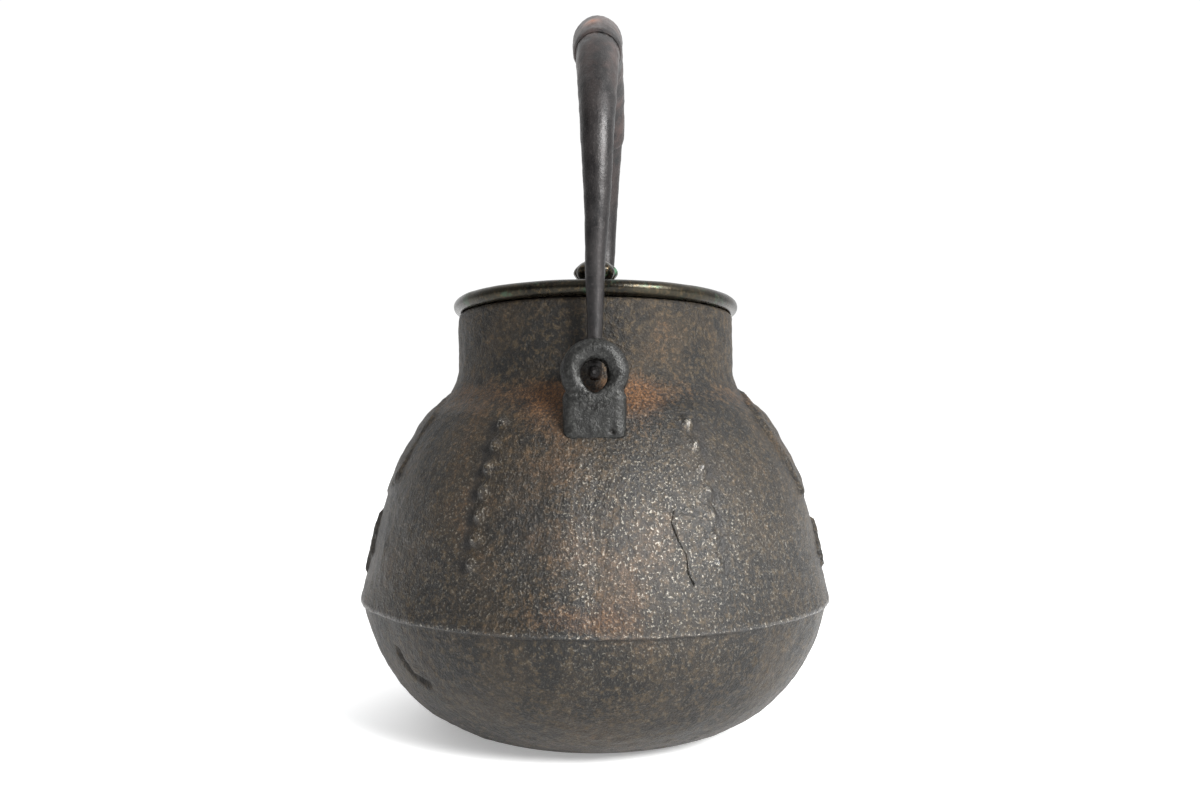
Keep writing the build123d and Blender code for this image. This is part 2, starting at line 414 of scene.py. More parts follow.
def patinatedBronze(name, greenShare, warmShare):
    # Cast bronze coloured dark by pickling, then waxed: a deep brown-black with a clear gloss,
    # warm where it is rubbed and blue-green where damp has sat.
    material, tree = newMaterial(name)
    look = bronze
    place = objectPlace(tree)
    cloud = grain(tree, place, look["cloud"], 5, 0.6, 0.5)
    spots = grain(tree, place, look["spots"], 4, 0.6, 0.3)
    fine = grain(tree, place, look["fine"], 4, 0.6)
    base = mixColour(tree, ramp(tree, cloud, 0.38, 0.62), shade(look["dark"]), shade(look["middle"]))
    warm = times(tree, ramp(tree, fine, 0.5, 0.7), warmShare)
    base = mixColour(tree, warm, base, shade(look["warm"]))
    green = times(tree, ramp(tree, spots, 0.56, 0.66), greenShare)
    heights = plus(tree, fine, times(tree, spots, 1.5))
    rough = ramp(tree, cloud, 0.3, 0.7, grey(0.2), grey(0.36))
    surface = {
        "Base Color": mixColour(tree, green, base, shade(look["green"])),
        "Roughness": plus(tree, rough, times(tree, green, 0.3)),
        "Metallic": minus(tree, look["metallic"], times(tree, green, 0.6), True),
        "Normal": unevenness(tree, heights, look["depth"], 0.3),
    }
    closeMaterial(tree, surface)
    return material


# Kettle body

kettle = {
    "segments": 430,
    "rowStep": 1.1,
    "innerStep": 12.0,
    "baseRadius": 36.0,
    "bowlReach": 47.0,
    "bowlRise": 56.0,
    "bowlLength": 78.0,
    "seamHeight": 43.4,
    "seamStep": 1.3,
    "seamLip": 1.0,
    "slope": ((72.8, 85.4), (61.2, 107.2), (55.4, 113.2), (52.0, 118.2), (50.2, 125.0)),
    "mouthHeight": 145.0,
    "mouthRound": 1.7,
    "wall": 4.4,
    "floor": 4.0,
    "waves": 0.35,
    "waveLength": 14.0,
    "sandRise": 0.22,
    "sandLength": 3.4,
}

relief = {
    "low": 58.0,
    "high": 112.0,
    "panelHigh": 107.0,
    "toothAngle": 26.8,
    "toothCount": 7,
    "toothLowest": 63.2,
    "toothPitch": 6.8,
    "toothRadius": 2.7,
    "toothRise": 2.3,
    "panelRise": 0.8,
    "hillLow": 79.0,
    "hillHigh": 117.0,
    "hillHalfWidth": 31.0,
    "hillEdge": 1.6,
    "hillFall": 0.011,
    "hillArch": 0.006,
    "roofLow": 52.0,
    "roofHigh": 78.0,
    "strokeWidth": 1.5,
    "strokeRise": 1.25,
}

# the two flanks differ, as hand-made ones do: the hill towards -Y stands out more and is more ragged
flanks = {
    1: {"hillRise": 1.05, "wobble": 1.5, "ragged": 0.3},
    -1: {"hillRise": 1.5, "wobble": 4.5, "ragged": 2.0},
}

# each stroke runs from one point to another, as (along the flank, height)
roofStrokes = [
    ((-24, 60), (-15, 71)), ((-15, 71), (-6, 61)), ((-21, 57), (-15, 64.5)), ((-15, 64.5), (-9, 57.5)),
    ((-4, 58), (4, 67)), ((4, 67), (12, 58)), ((0, 56), (4, 60.5)), ((4, 60.5), (8, 56)),
    ((18, 55), (19, 74)), ((14, 61), (19, 67)), ((19, 67), (25, 61)), ((15, 67), (19, 72)),
    ((19, 72), (23, 67)),
]

# a flaw in the bowl's casting, its strokes as (along the bowl from the rear, height)
flaw = {
    "strokes": [((68.5, 34), (66.3, 30.2)), ((66.3, 30.2), (62.5, 26.5)), ((62.5, 26.5), (56.2, 25.2))],
    "low": 22.0,
    "high": 37.0,
    "bowlRadius": 77.0,
    "halfWidth": 1.6,
    "depth": 1.1,
}


def bezierRun(start, startPull, endPull, end, step):
    count = max(2, round((Vector(end) - Vector(start)).length / step))
    for number in range(1, count + 1):
        t = number / count
        a, b, c, d = (1 - t) ** 3, 3 * t * (1 - t) ** 2, 3 * t * t * (1 - t), t**3
        yield tuple(a * p + b * q + c * r + d * s for p, q, r, s in zip(start, startPull, endPull, end))


def smoothRun(points, startTurn, endTurn, step):
    # a smooth line through the points, leaving and arriving along the two given directions
    turns = [Vector(startTurn)]
    for before, after in zip(points, points[2:]):
        turns.append((Vector(after) - Vector(before)).normalized())
    turns.append(Vector(endTurn))
    line = [points[0]]
    for number in range(len(points) - 1):
        start, end = Vector(points[number]), Vector(points[number + 1])
        pull = (end - start).length / 3
        startPull = start + turns[number].normalized() * pull
        endPull = end - turns[number + 1].normalized() * pull
        line += list(bezierRun(tuple(start), tuple(startPull), tuple(endPull), tuple(end), step))
    return line


def bodyOutline(inset, bottom, step, lip, top, spacing):
    # from the middle of the base over the bowl, the seam, the slope and the neck to the height top
    size = kettle
    reach, rise = size["bowlReach"] - inset, size["bowlRise"] - bottom
    line = [(share * size["baseRadius"] / 6, bottom) for share in range(6)]
    last = -degrees(atan2(size["bowlRise"] - size["seamHeight"], rise))
    count = round(size["bowlLength"] / spacing)
    for number in range(count + 1):
        turn = radians(-90 + (90 + last) * number / count)
        line.append((size["baseRadius"] + reach * cos(turn), size["bowlRise"] + rise * sin(turn)))
    seamRadius, seamHeight = line[-1]
    start = (seamRadius + step, seamHeight + lip)
    if step > 0:
        # the seam's little ledge, rounded at its edge
        for out, up in ((0.1, 0.12), (0.86, 0.58), (0.98, 0.78)):
            line.append((seamRadius + out * step, seamHeight + up * lip))
    points = [start] + [(radius - inset, height) for radius, height in size["slope"]]
    line += smoothRun(points, (-0.22, 1), (0, 1), spacing)
    neck = size["slope"][-1][0] - inset
    foot = size["slope"][-1][1]
    count = round((top - foot) / spacing)
    line += [(neck, foot + (top - foot) * number / count) for number in range(1, count + 1)]
    return line


def outlineRadius(outline, height):
    for (lowRadius, low), (highRadius, high) in zip(outline, outline[1:]):
        if low <= height <= high and high > low:
            return lowRadius + (highRadius - lowRadius) * (height - low) / (high - low)
    return outline[-1][0]


def strokeDistance(point, stroke):
    start, end = Vector(stroke[0]), Vector(stroke[1])
    along = end - start
    share = min(max((point - start).dot(along) / along.length_squared, 0), 1)
    return (point - start - along * share).length


def flawShare(x, y, height):
    if x > 0 or y < 0 or not flaw["low"] < height < flaw["high"]:
        return 0.0
    here = Vector((atan2(y, -x) * flaw["bowlRadius"], height))
    near = min(strokeDistance(here, stroke) for stroke in flaw["strokes"])
    return 1 - smoothStep(0.3, flaw["halfWidth"], near + 0.5 * noise.noise(here.to_3d()))


def nearestTooth(height):
    number = round((height - relief["toothLowest"]) / relief["toothPitch"])
    return relief["toothLowest"] + min(max(number, 0), relief["toothCount"] - 1) * relief["toothPitch"]


def bodyRelief(x, y, height, radius):
    # how far the surface stands out in millimetres
    size = relief
    fromRear = degrees(atan2(abs(y), -x))
    fold = min(fromRear, 180 - fromRear)
    rise = -flaw["depth"] * flawShare(x, y, height)
    if size["low"] < height < size["high"]:
        band = smoothStep(size["low"], size["low"] + 6, height)
        band *= 1 - smoothStep(size["panelHigh"] - 6, size["panelHigh"], height)
        inside = 1 - smoothStep(size["toothAngle"] - 1.0, size["toothAngle"] + 0.8, fold)
        rise += size["panelRise"] * inside * band * smoothStep(12, 24, fold)
        off = radians(fold - size["toothAngle"]) * radius
        for number in range(size["toothCount"]):
            tall = size["toothLowest"] + number * size["toothPitch"]
            # each point is steeper below and on its outer side
            lean = 1.25 if height < tall else 0.8
            apart = hypot(off * (1.0 if off < 0 else 1.3), (height - tall) * lean)
            if apart < size["toothRadius"]:
                rise += size["toothRise"] * (1 - apart / size["toothRadius"]) ** 1.2
    if fold > 40:
        rise += flankRise(1 if y > 0 else -1, radians(90 - fromRear) * radius, height)
    return rise


def flankRise(side, along, height):
    # a hill over a row of roofs, where along is measured round the kettle from the middle of the flank
    size = relief
    flank = flanks[side]
    wobble = noise.noise(Vector((along / 8, side * 7.0, height / 11))) * flank["wobble"]
    ragged = noise.noise(Vector((along / 2.6, side * 3.0, height / 3.1))) * flank["ragged"]
    peak = size["hillHigh"] - size["hillFall"] * along**2 + wobble * 0.6 + ragged
    foot = size["hillLow"] + wobble + ragged + size["hillArch"] * along**2
    edge = size["hillHalfWidth"] + wobble * 1.2 + ragged - 0.05 * (height - size["hillLow"])
    mask = smoothStep(foot, foot + size["hillEdge"], height)
    mask *= 1 - smoothStep(peak - size["hillEdge"], peak, height)
    mask *= 1 - smoothStep(edge - size["hillEdge"], edge, abs(along))
    worn = 0.8 + 0.35 * noise.noise(Vector((along / 6, height / 6, side)))
    rise = flank["hillRise"] * mask * worn
    if size["roofLow"] < height < size["roofHigh"]:
        here = Vector((along * side, height))
        near = min(strokeDistance(here, stroke) for stroke in roofStrokes)
        rise += size["strokeRise"] * (1 - smoothStep(0.4, size["strokeWidth"], near))
    return rise


# where rust, dark, rubbed places, painted shade and painted highlight lie, as heights and, in rustPatches,
# as (share, height, how tall, angle from the ear, how wide)
stainsAndPaintedLight = {
    "neckFoot": 114.0,
    "rustPatches": ((0.75, 113, 4.5, 13, 9), (0.35, 106, 8, 12, 9), (0.2, 70, 22, 8, 12)),
    "aboveSeam": 49.0,
    "bowlTop": 40.0,
    "bowlClean": 34.0,
    "seamShadow": 43.6,
    "seamEdge": 44.9,
    "wornAndGlintHeight": 70.0,
    "darkPatchHeight": 77.0,
}


def bodyMarks(x, y, height):
    # rust lies along the foot of the neck, beside the ears and above the seam
    size = stainsAndPaintedLight
    fromRear = degrees(atan2(abs(y), -x))
    fold = min(fromRear, 180 - fromRear)
    rust = 0.08 + 0.3 * bump(size["neckFoot"], 5, height)
    rust -= 0.3 * smoothStep(size["bowlTop"], size["bowlClean"], height)
    rust += 0.55 * bump(size["aboveSeam"], 4.5, height) * bump(3 if y > 0 else 0, 9, fold)
    for share, middle, tall, angle, wide in size["rustPatches"]:
        rust += share * bump(middle, tall, height) * bump(angle, wide, fold)
    # a painted shadow under the seam's ledge, darker towards the bottom, and painted shade in the flaw's
    # groove
    dark = 0.5 * bump(size["seamShadow"], 0.5, height) + 0.25 * bump(0, 5, height)
    dark += 0.9 * flawShare(x, y, height)
    off = radians(fold - relief["toothAngle"]) * hypot(x, y)
    if 60 < height < 106:
        # a painted shadow just outside each row of cast points, where the raised panel steps down
        dark += 0.5 * bump(3.0, 1.7, off)
    # a darker patch on the +Y side of the rear, around mid height
    if y > 0:
        dark += 0.4 * bump(size["darkPatchHeight"], 13, height) * bump(16, 9, fromRear)
    # on the -Y side the worn patch lies where the window's highlight falls, giving a glossier skin and more
    # painted glints
    rubbed = bump(16, 17, fold) if y < 0 else bump(0, 6, fold)
    worn = bump(size["wornAndGlintHeight"], 27, height) * (0.25 + 0.75 * rubbed)
    # a thin painted highlight along the seam's lip edge, made of painted glints and a glossier skin
    worn += 0.9 * bump(size["seamEdge"], 0.5, height)
    smooth = 0.0
    if abs(off) < 5 and relief["low"] < height < 108:
        # the cast points get a painted highlight at their tips and a painted shadow below and outside them
        rise = height - nearestTooth(height)
        smooth = bump(0, 2.2, hypot(off, rise))
        tip = bump(0, 1.3, hypot(off + 0.3, rise - 0.5))
        worn += tip
        rust -= 0.5 * smooth
        dark += 0.85 * bump(0, 1.6, hypot(off - 2.6, rise + 0.9)) - 0.8 * tip
    return rust, dark, worn, smooth


def paintMarks(piece, marksAt):
    # marksAt gives the shares of rust, dark, worn and smooth, which the material breaks up with its grain
    layer = piece.data.color_attributes.new("marks", "FLOAT_COLOR", "POINT")
    for vertex, cell in zip(piece.data.vertices, layer.data):
        cell.color = [min(max(share, 0.0), 1.0) for share in marksAt(*(vertex.co / mm))]


spout = {
    "path": ((58, 84), (84, 101), (103, 125)),
    "tilts": (35, 42, 56),
    "widths": (38.0, 25.6, 18.4),
    "wall": 3.6,
    "sides": 36,
    "step": 1.1,
}

# a thread of iron that ran into a crack of the mould, as (angle from the rear, height)
vein = {
    "path": ((17.9, 78.8), (17.0, 75.4), (18.1, 70.8), (19.6, 66.5), (19.7, 61.7), (20.9, 58.1)),
    "lift": 0.55,
    "width": 0.8,
    "sides": 6,
}


def spoutLine(reach):
    # places and widths along the spout, run on by reach at both ends
    size = spout
    points = [Vector((x, 0, z)) for x, z in size["path"]]
    turns = [Vector((cos(radians(tilt)), 0, sin(radians(tilt)))) for tilt in size["tilts"]]
    places, widths = [points[0] - turns[0] * reach], [size["widths"][0]]
    for number in range(2):
        start, end = points[number], points[number + 1]
        pull = (end - start).length / 3
        endPull = end - turns[number + 1] * pull
        run = bezierRun(start, start + turns[number] * pull, endPull, end, size["step"])
        run = [start] + [Vector(place) for place in run]
        for count, place in enumerate(run[:-1] if number == 0 else run):
            share = count / (len(run) - 1)
            places.append(place)
            widths.append(size["widths"][number] * (1 - share) + size["widths"][number + 1] * share)
    places.append(points[-1] + turns[-1] * reach)
    widths.append(size["widths"][-1])
    return places, widths


def raiseRelief(vessel, outer):
    # only the outside moves, without the rim and the middle of the base
    size = kettle
    perMm = 2
    outside = [outlineRadius(outer, row / perMm) for row in range(round(size["mouthHeight"]) * perMm + 1)]
    moved = []
    for vertex in vessel.data.vertices:
        x, y, height = vertex.co / mm
        radius = hypot(x, y)
        push = 0.0
        row = int(max(height, 0) * perMm)
        if radius > 30 and height < size["mouthHeight"] - 2 and radius > outside[row] - 1.5:
            push = bodyRelief(x, y, height, radius)
            if height > 4:
                # smoother beside the ears, where the handle's legs pass close by
                calm = 1 - 0.85 * bump(115, 14, height) * bump(0, 32, degrees(atan2(abs(y), abs(x))))
                place = Vector((x, y, height))
                push += size["waves"] * calm * noise.noise(place / size["waveLength"])
                push += size["sandRise"] * calm * noise.noise(place / size["sandLength"])
        moved.extend(vertex.co + vertex.normal * push * mm)
    vessel.data.vertices.foreach_set("co", moved)
    vessel.data.update()


def makeBody(material):
    size = kettle
    rimStart = size["mouthHeight"] - size["mouthRound"]
    outer = bodyOutline(0, 0, size["seamStep"], size["seamLip"], rimStart, size["rowStep"])
    inner = bodyOutline(size["wall"], size["floor"], 0, 0.5, rimStart, size["innerStep"])
    neck = outer[-1][0]
    rim = []
    for turn in (radians(22.5), radians(45), radians(67.5), radians(90)):
        rim.append((neck - size["mouthRound"] * (1 - cos(turn)), rimStart + size["mouthRound"] * sin(turn)))
    line = drawLine("kettle_vessel", outer + rim + [(inner[-1][0], size["mouthHeight"])] + inner[::-1])
    vessel = spinRound(line, size["segments"])
    print("body spun", len(vessel.data.vertices))
    raiseRelief(vessel, outer)
    print("relief raised")

    places, widths = spoutLine(0)
    horn = drawTube("spout_horn", places, widths, spout["sides"])
    combine(vessel, horn, "UNION")
    # the bore reaches past both ends, so that it opens the vessel's wall and the tip
    places, widths = spoutLine(10)
    boreWidths = [width - 2 * spout["wall"] for width in widths]
    bore = drawTube("spout_bore", places, boreWidths, spout["sides"])
    combine(vessel, bore, "DIFFERENCE")
    print("spout joined", len(vessel.data.polygons))
    paintMarks(vessel, bodyMarks)
    finish(vessel, "kettle", "cast_iron_body", material, "kettle_body", "kettle_spout")

    run = []
    for angle, height in vein["path"]:
        radius = outlineRadius(outer, height) + vein["lift"]
        run.append((-radius * cos(radians(angle)), -radius * sin(radians(angle)), height))
    thread = drawTube("casting_vein", run, [vein["width"]] * len(run), vein["sides"])
    paintMarks(thread, lambda x, y, height: (0.1, 0.2, 0.9, 0.0))
    finish(thread, "kettle", "cast_iron_body", material)


# Ears

ear = {
    "middle": 62.8,
    "ringHeight": 119.5,
    "ringWidth": 20.9,
    "rod": 6.7,
    "thickness": 7.6,
    "footWidth": 19.2,
    "footHeight": 98.5,
    "footTop": 114.6,
    "footThickness": 7.0,
    "corner": 2.9,
    "poreRadius": 0.95,
    "porePlace": (-5.2, 101.7),
    "holeRadius": 3.9,
    "holeDrop": 1.3,
    "holeWear": 1.1,
    "crackHeight": 109.2,
    "jointHeight": 113.4,
    "voxel": 0.42,
}


def earMarks(x, y, height):
    # dark joints where the mould met, painted shade in the pore, and rust creeping in from the body
    size = ear
    crack = 0.7 * bump(size["crackHeight"] + 0.3 * sin(y * 1.3), 0.3, height)
    crack += 0.6 * bump(size["jointHeight"], 0.4, height) * smoothStep(5, 7, y)
    poreShade = bump(0, size["poreRadius"], hypot(y - size["porePlace"][0], height - size["porePlace"][1]))
    inHole = bump(0, 3.4, hypot(y, height - size["ringHeight"] + size["holeDrop"]))
    depth = size["middle"] + size["thickness"] / 2 - abs(x)
    rust = 0.55 * smoothStep(3.5, 6.5, depth) + 0.3 * inHole * smoothStep(2, 5, depth)
    return rust, crack + poreShade, 0.0, 0.0


def makeEar(name, facing, material, cadNode):
    size = ear
    clearSelection()
    ringPlace = (facing * size["middle"] * mm, 0, size["ringHeight"] * mm)
    bpy.ops.mesh.primitive_torus_add(
        location=ringPlace,
        rotation=(0, pi / 2, 0),
        major_segments=72,
        minor_segments=28,
        major_radius=(size["ringWidth"] - size["rod"]) / 2 * mm,
        minor_radius=size["rod"] / 2 * mm,
    )
    ring = bpy.context.object
    ring.name = name
    bpy.ops.object.transform_apply(location=True, rotation=True, scale=True)

    clearSelection()
    footMiddle = (size["footTop"] + size["footHeight"]) / 2
    bpy.ops.mesh.primitive_cube_add(size=1, location=(facing * size["middle"] * mm, 0, footMiddle * mm))
    foot = bpy.context.object
    bpy.ops.object.mode_set(mode="EDIT")
    bpy.ops.mesh.select_all(action="SELECT")
    tall = size["footTop"] - size["footHeight"]
    bpy.ops.transform.resize(value=(size["footThickness"] * mm, size["footWidth"] * mm, tall * mm))
    bpy.ops.mesh.bevel(offset=size["corner"] * mm, segments=5)
    bpy.ops.object.mode_set(mode="OBJECT")
    bpy.ops.object.transform_apply(location=True, rotation=True, scale=True)
    combine(ring, foot, "UNION")

    clearSelection()
    holeHeight = size["ringHeight"] - size["holeDrop"]
    bpy.ops.mesh.primitive_cylinder_add(
        vertices=32,
        radius=size["holeRadius"] * mm,
        depth=20 * mm,
        location=(facing * size["middle"] * mm, 0, holeHeight * mm),
        rotation=(0, pi / 2, 0),
    )
    cutter = bpy.context.object
    bpy.ops.object.transform_apply(location=True, rotation=True, scale=True)
    # the hook has worn the bottom of the hole into a notch
    lowest = (holeHeight - size["holeRadius"]) * mm
    for vertex in cutter.data.vertices:
        if vertex.co.z < lowest + 1.2 * mm:
            vertex.co.z -= size["holeWear"] * mm * (1 - abs(vertex.co.y) / (size["holeRadius"] * mm))
    combine(ring, cutter, "DIFFERENCE")
    clearSelection()
    poreY, poreZ = size["porePlace"]
    bpy.ops.mesh.primitive_uv_sphere_add(
        radius=size["poreRadius"] * mm,
        location=(facing * (size["middle"] + size["footThickness"] / 2) * mm, poreY * mm, poreZ * mm),
    )
    combine(ring, bpy.context.object, "DIFFERENCE")
    applyModifier(ring, "REMESH", mode="VOXEL", voxel_size=size["voxel"] * mm)
    applyModifier(ring, "SMOOTH", factor=0.5, iterations=6)
    roughen(ring, "ear_cast", 3.0, 0.5, 2)
    paintMarks(ring, earMarks)
    return finish(ring, "kettle", "cast_iron_ear", material, cadNode)


# Handle

handle = {
    "axisHeight": 119.4,
    "legX": 55.6,
    "halfWidth": 61.0,
    "shoulderHeight": 182.6,
    "hookWidth": 4.3,
    "bend": 5.0,
    "tipX": 66.0,
    "tipWidth": 2.8,
    "topWidth": 14.8,
    "swell": 1.25,
    "gripAngle": 45.0,
    "gripEnd": 16.2,
    "crown": 17.6,
    "sag": 0.8,
    "frontSag": 3.7,
    "bow": 0.012,
    "bowHeight": 134.0,
    "sagStart": 145.0,
    "sagFull": 176.0,
    "legSides": 22,
    "gripSides": 28,
    "tangInside": 3.0,
    "tangSlack": 3.4,
}


def archPlace(facing, fromCrown):
    size = handle
    turn = radians(fromCrown)
    height = size["shoulderHeight"] + size["halfWidth"] * cos(turn)
    return Vector((facing * size["halfWidth"] * sin(turn), 0, height))


def sideways(place):
    # the old handle has sagged a little to the side, most of all its front leg
    sag = handle["sag"] + (handle["frontSag"] - handle["sag"]) * smoothStep(-20, 50, place.x)
    sag *= smoothStep(handle["sagStart"], handle["sagFull"], place.z)
    # the legs bow outwards over the foot of the neck, so that they clear it when the handle lies down
    bow = 1 + handle["bow"] * bump(handle["bowHeight"], 10, place.z)
    return Vector((place.x * bow, -sag, place.z))


def legLine(facing):
    # from the hook's tip, through the ear, round the bend and up to the grip
    size = handle
    places, widths = [], []
    pinEnd = size["legX"] + size["bend"]
    # the hook's tip is rounded over its first few steps
    for share, rounding in ((0, 0.45), (0.04, 0.45), (0.1, 0.95), (0.2, 1), (0.4, 1), (0.6, 1), (0.8, 1)):
        x = size["tipX"] + (pinEnd - size["tipX"]) * share
        places.append(Vector((facing * x, 0, size["axisHeight"])))
        widths.append((size["tipWidth"] + (size["hookWidth"] - size["tipWidth"]) * share) * rounding)
    for number in range(9):
        turn = radians(90 * number / 8)
        x = pinEnd - size["bend"] * sin(turn)
        z = size["axisHeight"] + size["bend"] * (1 - cos(turn))
        places.append(Vector((facing * x, 0, z)))
        widths.append(size["hookWidth"])
    start = Vector((size["legX"], 0, size["axisHeight"] + size["bend"]))
    end = Vector((size["halfWidth"], 0, size["shoulderHeight"]))
    up = Vector((0, 0, (end - start).length / 3))
    run = [Vector(place) for place in bezierRun(start, start + up, end - up, end, 1.0)]
    sweep = 90 - size["gripAngle"]
    arc = [archPlace(1, 90 - sweep * number / 48) for number in range(1, 49)]
    climb = run + arc
    for number, place in enumerate(climb, 1):
        share = (number / len(climb)) ** size["swell"]
        places.append(Vector((facing * place.x, 0, place.z)))
        widths.append(size["hookWidth"] + (size["topWidth"] - size["hookWidth"]) * share)
    # the tang runs on inside the grip
    places.append(archPlace(facing, size["gripAngle"] - size["tangInside"]))
    widths.append(size["gripEnd"] - size["tangSlack"])
    return [sideways(place) for place in places], widths


def legMarks(x, y, height):
    # painted shade where the hook sits inside the ear, and brown towards the grip
    return 0.0, 0.35 * bump(handle["axisHeight"], 3, height), smoothStep(190, 240, height), 0.0


def gripMarks(x, y, height):
    # one spot of rust near the rear end of the grip, on its upper side
    rust = 0.9 * bump(0, 2.2, hypot(y - 1.2, abs(x) - 41)) if height > 232 and x < 0 else 0.0
    return rust, 0.0, 1.0, 0.0


def makeLeg(name, facing, material, cadNode):
    places, widths = legLine(facing)
    leg = drawTube(name, places, widths, handle["legSides"])
    roughen(leg, "hammer", 7.0, 0.5, 1)
    roughen(leg, "forge_scale", 2.2, 0.2, 2)
    paintMarks(leg, legMarks)
    return finish(leg, "handle", "forged_iron_handle", material, cadNode)


def makeGrip(material):
    size = handle
    rows = 110
    places, widths = [], []
    for number in range(rows + 1):
        angle = size["gripAngle"] * (2 * number / rows - 1)
        places.append(sideways(archPlace(1, angle)))
        share = abs(angle) / size["gripAngle"]
        edge = 0.9 * smoothStep(0.965, 1.0, share)
        widths.append(size["crown"] - (size["crown"] - size["gripEnd"]) * share**2 - edge)
    grip = drawTube("handle_grip_tube", places, widths, size["gripSides"])
    roughen(grip, "grip_hammer", 8.0, 0.6, 1)
    roughen(grip, "grip_scale", 2.2, 0.22, 2)
    paintMarks(grip, gripMarks)
    return finish(grip, "handle", "forged_iron_handle", material, "handle_grip")


# Lid

lid = {
    "radius": 52.1,
    "bead": 5.3,
    "plate": 2.6,
    "dome": 4.6,
    "flangeOuter": 45.2,
    "flangeWall": 1.9,
    "flangeDepth": 7.0,
    "boreRadius": 2.35,
    "segments": 224,
}


def makeLid(material):
    size = lid
    low = kettle["mouthHeight"]
    plateTop = low + size["plate"]
    top = plateTop + size["dome"]
    under = low + size["dome"]
    beadRadius = size["bead"] / 2
    beadMiddle = size["radius"] - beadRadius
    flangeOuter = size["flangeOuter"]
    flangeInner = flangeOuter - size["flangeWall"]
    flangeEnd = low - size["flangeDepth"]

    domeLine = [(size["boreRadius"], top), (13.5, top - 0.1), (42.0, plateTop + 0.7)]
    outline = smoothRun(domeLine + [(beadMiddle - 2.9, plateTop + 0.2)], (1, 0), (1, -0.1), 1.6)
    # the bead turns from its inner top over the outside to its underside
    start, sweep, count = 160, 270, 22
    for number in range(count + 1):
        turn = radians(start - sweep * number / count)
        outline.append((beadMiddle + beadRadius * cos(turn), low + beadRadius * (1 + sin(turn))))
    outline += [(flangeOuter + 0.4, low), (flangeOuter, low - 0.5)]
    outline += [(flangeOuter, flangeEnd + 0.5), (flangeOuter - 0.5, flangeEnd)]
    outline += [(flangeInner + 0.4, flangeEnd), (flangeInner, flangeEnd + 0.4), (flangeInner, low - 0.6)]
    underLine = [(flangeInner - 0.8, low + 0.15), (20, under - 1.0), (6.5, under)]
    outline += smoothRun(underLine + [(size["boreRadius"], under)], (-1, 0.1), (-1, 0), 3.0)
    plate = spinRound(drawLine("lid_plate", outline + [outline[0]]), size["segments"])
    roughen(plate, "lid_cast", 9.0, 0.18, 2)
    return finish(plate, "lid", "bronze_lid", material, "lid")


# Knob and rosette

knob = {
    "foot": 153.65,
    "height": 13.6,
    "width": 17.0,
    "stemRadius": 2.1,
    "petals": 5,
    "petalDepth": 0.17,
    "petalDrop": 0.9,
}
rosette = {
    "base": 152.2,
    "thickness": 1.3,
    "width": 25.0,
    "boreRadius": 2.35,
    "collar": 5.4,
    "petals": 12,
    "petalDepth": 0.13,
    "petalDrop": 0.45,
}


def makeKnob(material):
    size = knob
    foot = size["foot"]
    half = size["width"] / 2
    stem = size["stemRadius"]
    # the riveted end under the lid, the stem, then the bud with a small button on top
    rivet = [(0.05, foot - 9.05), (2.6, foot - 8.95), (3.4, foot - 7.75), (3.4, foot - 6.45)]
    lower = [(4.5, foot + 0.4), (3.6, foot + 2.6), (half * 0.86, foot + 6.0)]
    upper = [(half, foot + 8.4), (half * 0.74, foot + 11.2), (3.0, foot + 12.5)]
    button = [(2.9, foot + 12.6), (2.4, foot + 13.3), (0.05, foot + size["height"])]
    outline = smoothRun(rivet, (1, 0), (0, 1), 0.6)
    outline += [(stem, foot - 6.35), (stem, foot - 0.2), (2.4, foot + 0.02), (4.2, foot + 0.05)]
    outline += smoothRun(lower + upper, (0, 1), (-1, -0.2), 0.5)
    outline += smoothRun(button, (0, 1), (-1, 0), 0.4)
    bud = spinRound(drawLine("knob_bud", outline), 120)
    for vertex in bud.data.vertices:
        x, y, height = vertex.co / mm
        radius = hypot(x, y)
        if height < foot + 1.5 or radius < 0.2:
            continue
        fold = 1 - abs(cos(atan2(y, x) * size["petals"] / 2)) ** 0.6
        fold *= smoothStep(foot + 2, foot + 6, height) * smoothStep(2.6, 5.0, radius)
        vertex.co.x *= 1 - size["petalDepth"] * fold
        vertex.co.y *= 1 - size["petalDepth"] * fold
        vertex.co.z -= size["petalDrop"] * fold * mm
    roughen(bud, "knob_cast", 2.2, 0.35, 2)
    return finish(bud, "knob", "bronze_knob", material, "lid_knob")


def makeRosette(material):
    size = rosette
    base, bore, half = size["base"], size["boreRadius"], size["width"] / 2
    top = base + size["thickness"]
    petalLine = [(half, base + 0.6), (half - 1.2, top - 0.1), (6.0, base + 0.9), (5.2, top)]
    outline = [(bore, base), (half - 0.6, base + 0.02), (half - 0.1, base + 0.3), (half, base + 0.6)]
    outline += smoothRun(petalLine, (0, 1), (-0.5, 1), 0.5)
    outline += [(4.6, top), (bore, top), (bore, base)]
    seat = spinRound(drawLine("knob_seat", outline), 192)
    for vertex in seat.data.vertices:
        x, y, height = vertex.co / mm
        radius = hypot(x, y)
        if radius < size["collar"]:
            continue
        fold = 1 - abs(cos(atan2(y, x) * size["petals"] / 2)) ** 0.7
        shrink = 1 - size["petalDepth"] * smoothStep(size["collar"], half, radius) * fold
        vertex.co.x *= shrink
        vertex.co.y *= shrink
        if height > base + 0.5:
            vertex.co.z -= size["petalDrop"] * smoothStep(size["collar"], 7, radius) * fold * mm
    return finish(seat, "lid", "bronze_knob", material, "knob_rosette")


# Floor, light and camera

view = {"place": (-333.0, -1.6, 98.0), "pitch": 2.8, "lens": 27.0}
room = {
    "floorReach": 4000.0,
    "floorGlow": 0.34,
    "window": (-760, -647, 592),
    "windowAim": (0, -20, 70),
    "windowSize": 400.0,
    "windowPower": 31.0,
    "ceilingPower": 1.5,
    "ceilingSpread": 110.0,
}


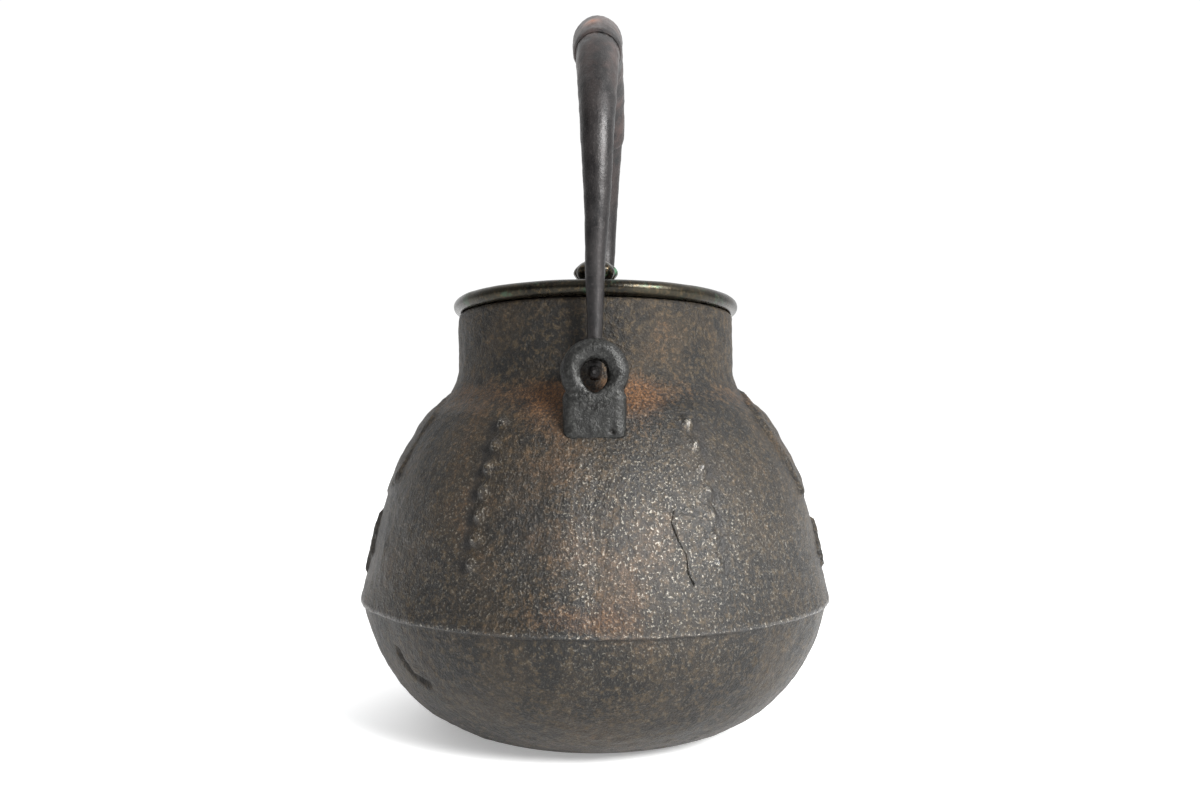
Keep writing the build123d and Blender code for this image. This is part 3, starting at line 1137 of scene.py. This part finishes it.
def makeStage():
    clearSelection()
    bpy.ops.mesh.primitive_plane_add(size=2 * room["floorReach"] * mm, location=(0, 0, 0))
    floor = bpy.context.object
    floor.name = "floor"
    # matt paper, lit a little from within as a bright room lights it
    material, tree = newMaterial("matt_white_paper")
    surface = {
        "Base Color": (0.93, 0.935, 0.94, 1),
        "Roughness": 0.75,
        "Emission Color": grey(1),
        "Emission Strength": room["floorGlow"],
    }
    closeMaterial(tree, surface)
    floor.data.materials.append(material)


def makeLight():
    world = bpy.data.worlds.new("white_room")
    bpy.context.scene.world = world
    world.use_nodes = True
    tree = world.node_tree
    background = tree.nodes["Background"]
    # the paper behind the kettle is brighter than the room in front of it,
    # and the room's left is darker than its right, where the windows are
    way = addNode(tree, "ShaderNodeTexCoord", {}).outputs["Generated"]
    parts = addNode(tree, "ShaderNodeSeparateXYZ", {"Vector": way})
    facing = minus(tree, parts.outputs["X"], times(tree, parts.outputs["Y"], 0.35))
    brightness = {"Value": facing, "From Min": -0.35, "From Max": 0.45, "To Min": 0.22, "To Max": 1.04}
    share = addNode(tree, "ShaderNodeMapRange", brightness)
    tree.links.new(share.outputs["Result"], background.inputs["Strength"])
    background.inputs["Color"].default_value = grey(1)

    clearSelection()
    bpy.ops.object.light_add(type="AREA", location=[value * mm for value in room["window"]])
    window = bpy.context.object
    window.name = "window"
    window.data.shape = "RECTANGLE"
    window.data.size = room["windowSize"] * mm
    window.data.size_y = room["windowSize"] * mm
    window.data.energy = room["windowPower"]
    window.data.color = (1.0, 1.0, 0.99)
    aim = Vector(room["windowAim"]) * mm - window.location
    window.rotation_euler = aim.to_track_quat("-Z", "Y").to_euler()

    clearSelection()
    bpy.ops.object.light_add(type="SUN", location=(0, 0, 1.5), rotation=(radians(8), radians(-12), 0))
    ceiling = bpy.context.object
    ceiling.name = "ceiling"
    ceiling.data.energy = room["ceilingPower"]
    ceiling.data.angle = radians(room["ceilingSpread"])


def makeCamera():
    bpy.ops.object.camera_add(location=[value * mm for value in view["place"]])
    camera = bpy.context.object
    forward = Vector((cos(radians(view["pitch"])), 0, sin(radians(view["pitch"]))))
    camera.rotation_euler = forward.to_track_quat("-Z", "Y").to_euler()
    camera.data.lens = view["lens"]
    camera.data.sensor_width = 36.0
    camera.data.clip_start = 0.01
    bpy.context.scene.camera = camera
    bpy.context.scene.view_settings.view_transform = "Standard"


makeCamera()
makeStage()
makeLight()
print("camera, floor and light placed")

ironCast = sandCastIron()
ironEar = handledCastIron()
ironForged = forgedIron()
bronzeLid = patinatedBronze("bronze_patinated_waxed", 0.22, 0.3)
bronzeKnob = patinatedBronze("bronze_patinated_green", 0.9, 0.9)
print("materials mixed")

makeBody(ironCast)
print("body done")
makeEar("ear_rear_lug", -1, ironEar, "ear_rear")
makeEar("ear_front_lug", 1, ironEar, "ear_front")
print("ears done")
makeLeg("handle_rear_leg", -1, ironForged, "handle_leg_rear")
makeLeg("handle_front_leg", 1, ironForged, "handle_leg_front")
makeGrip(ironForged)
print("handle done")
makeLid(bronzeLid)
makeKnob(bronzeKnob)
makeRosette(bronzeKnob)
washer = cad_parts["knob_washer"]
washer.data.materials.clear()
washer.data.materials.append(bronzeLid)
print("lid done")
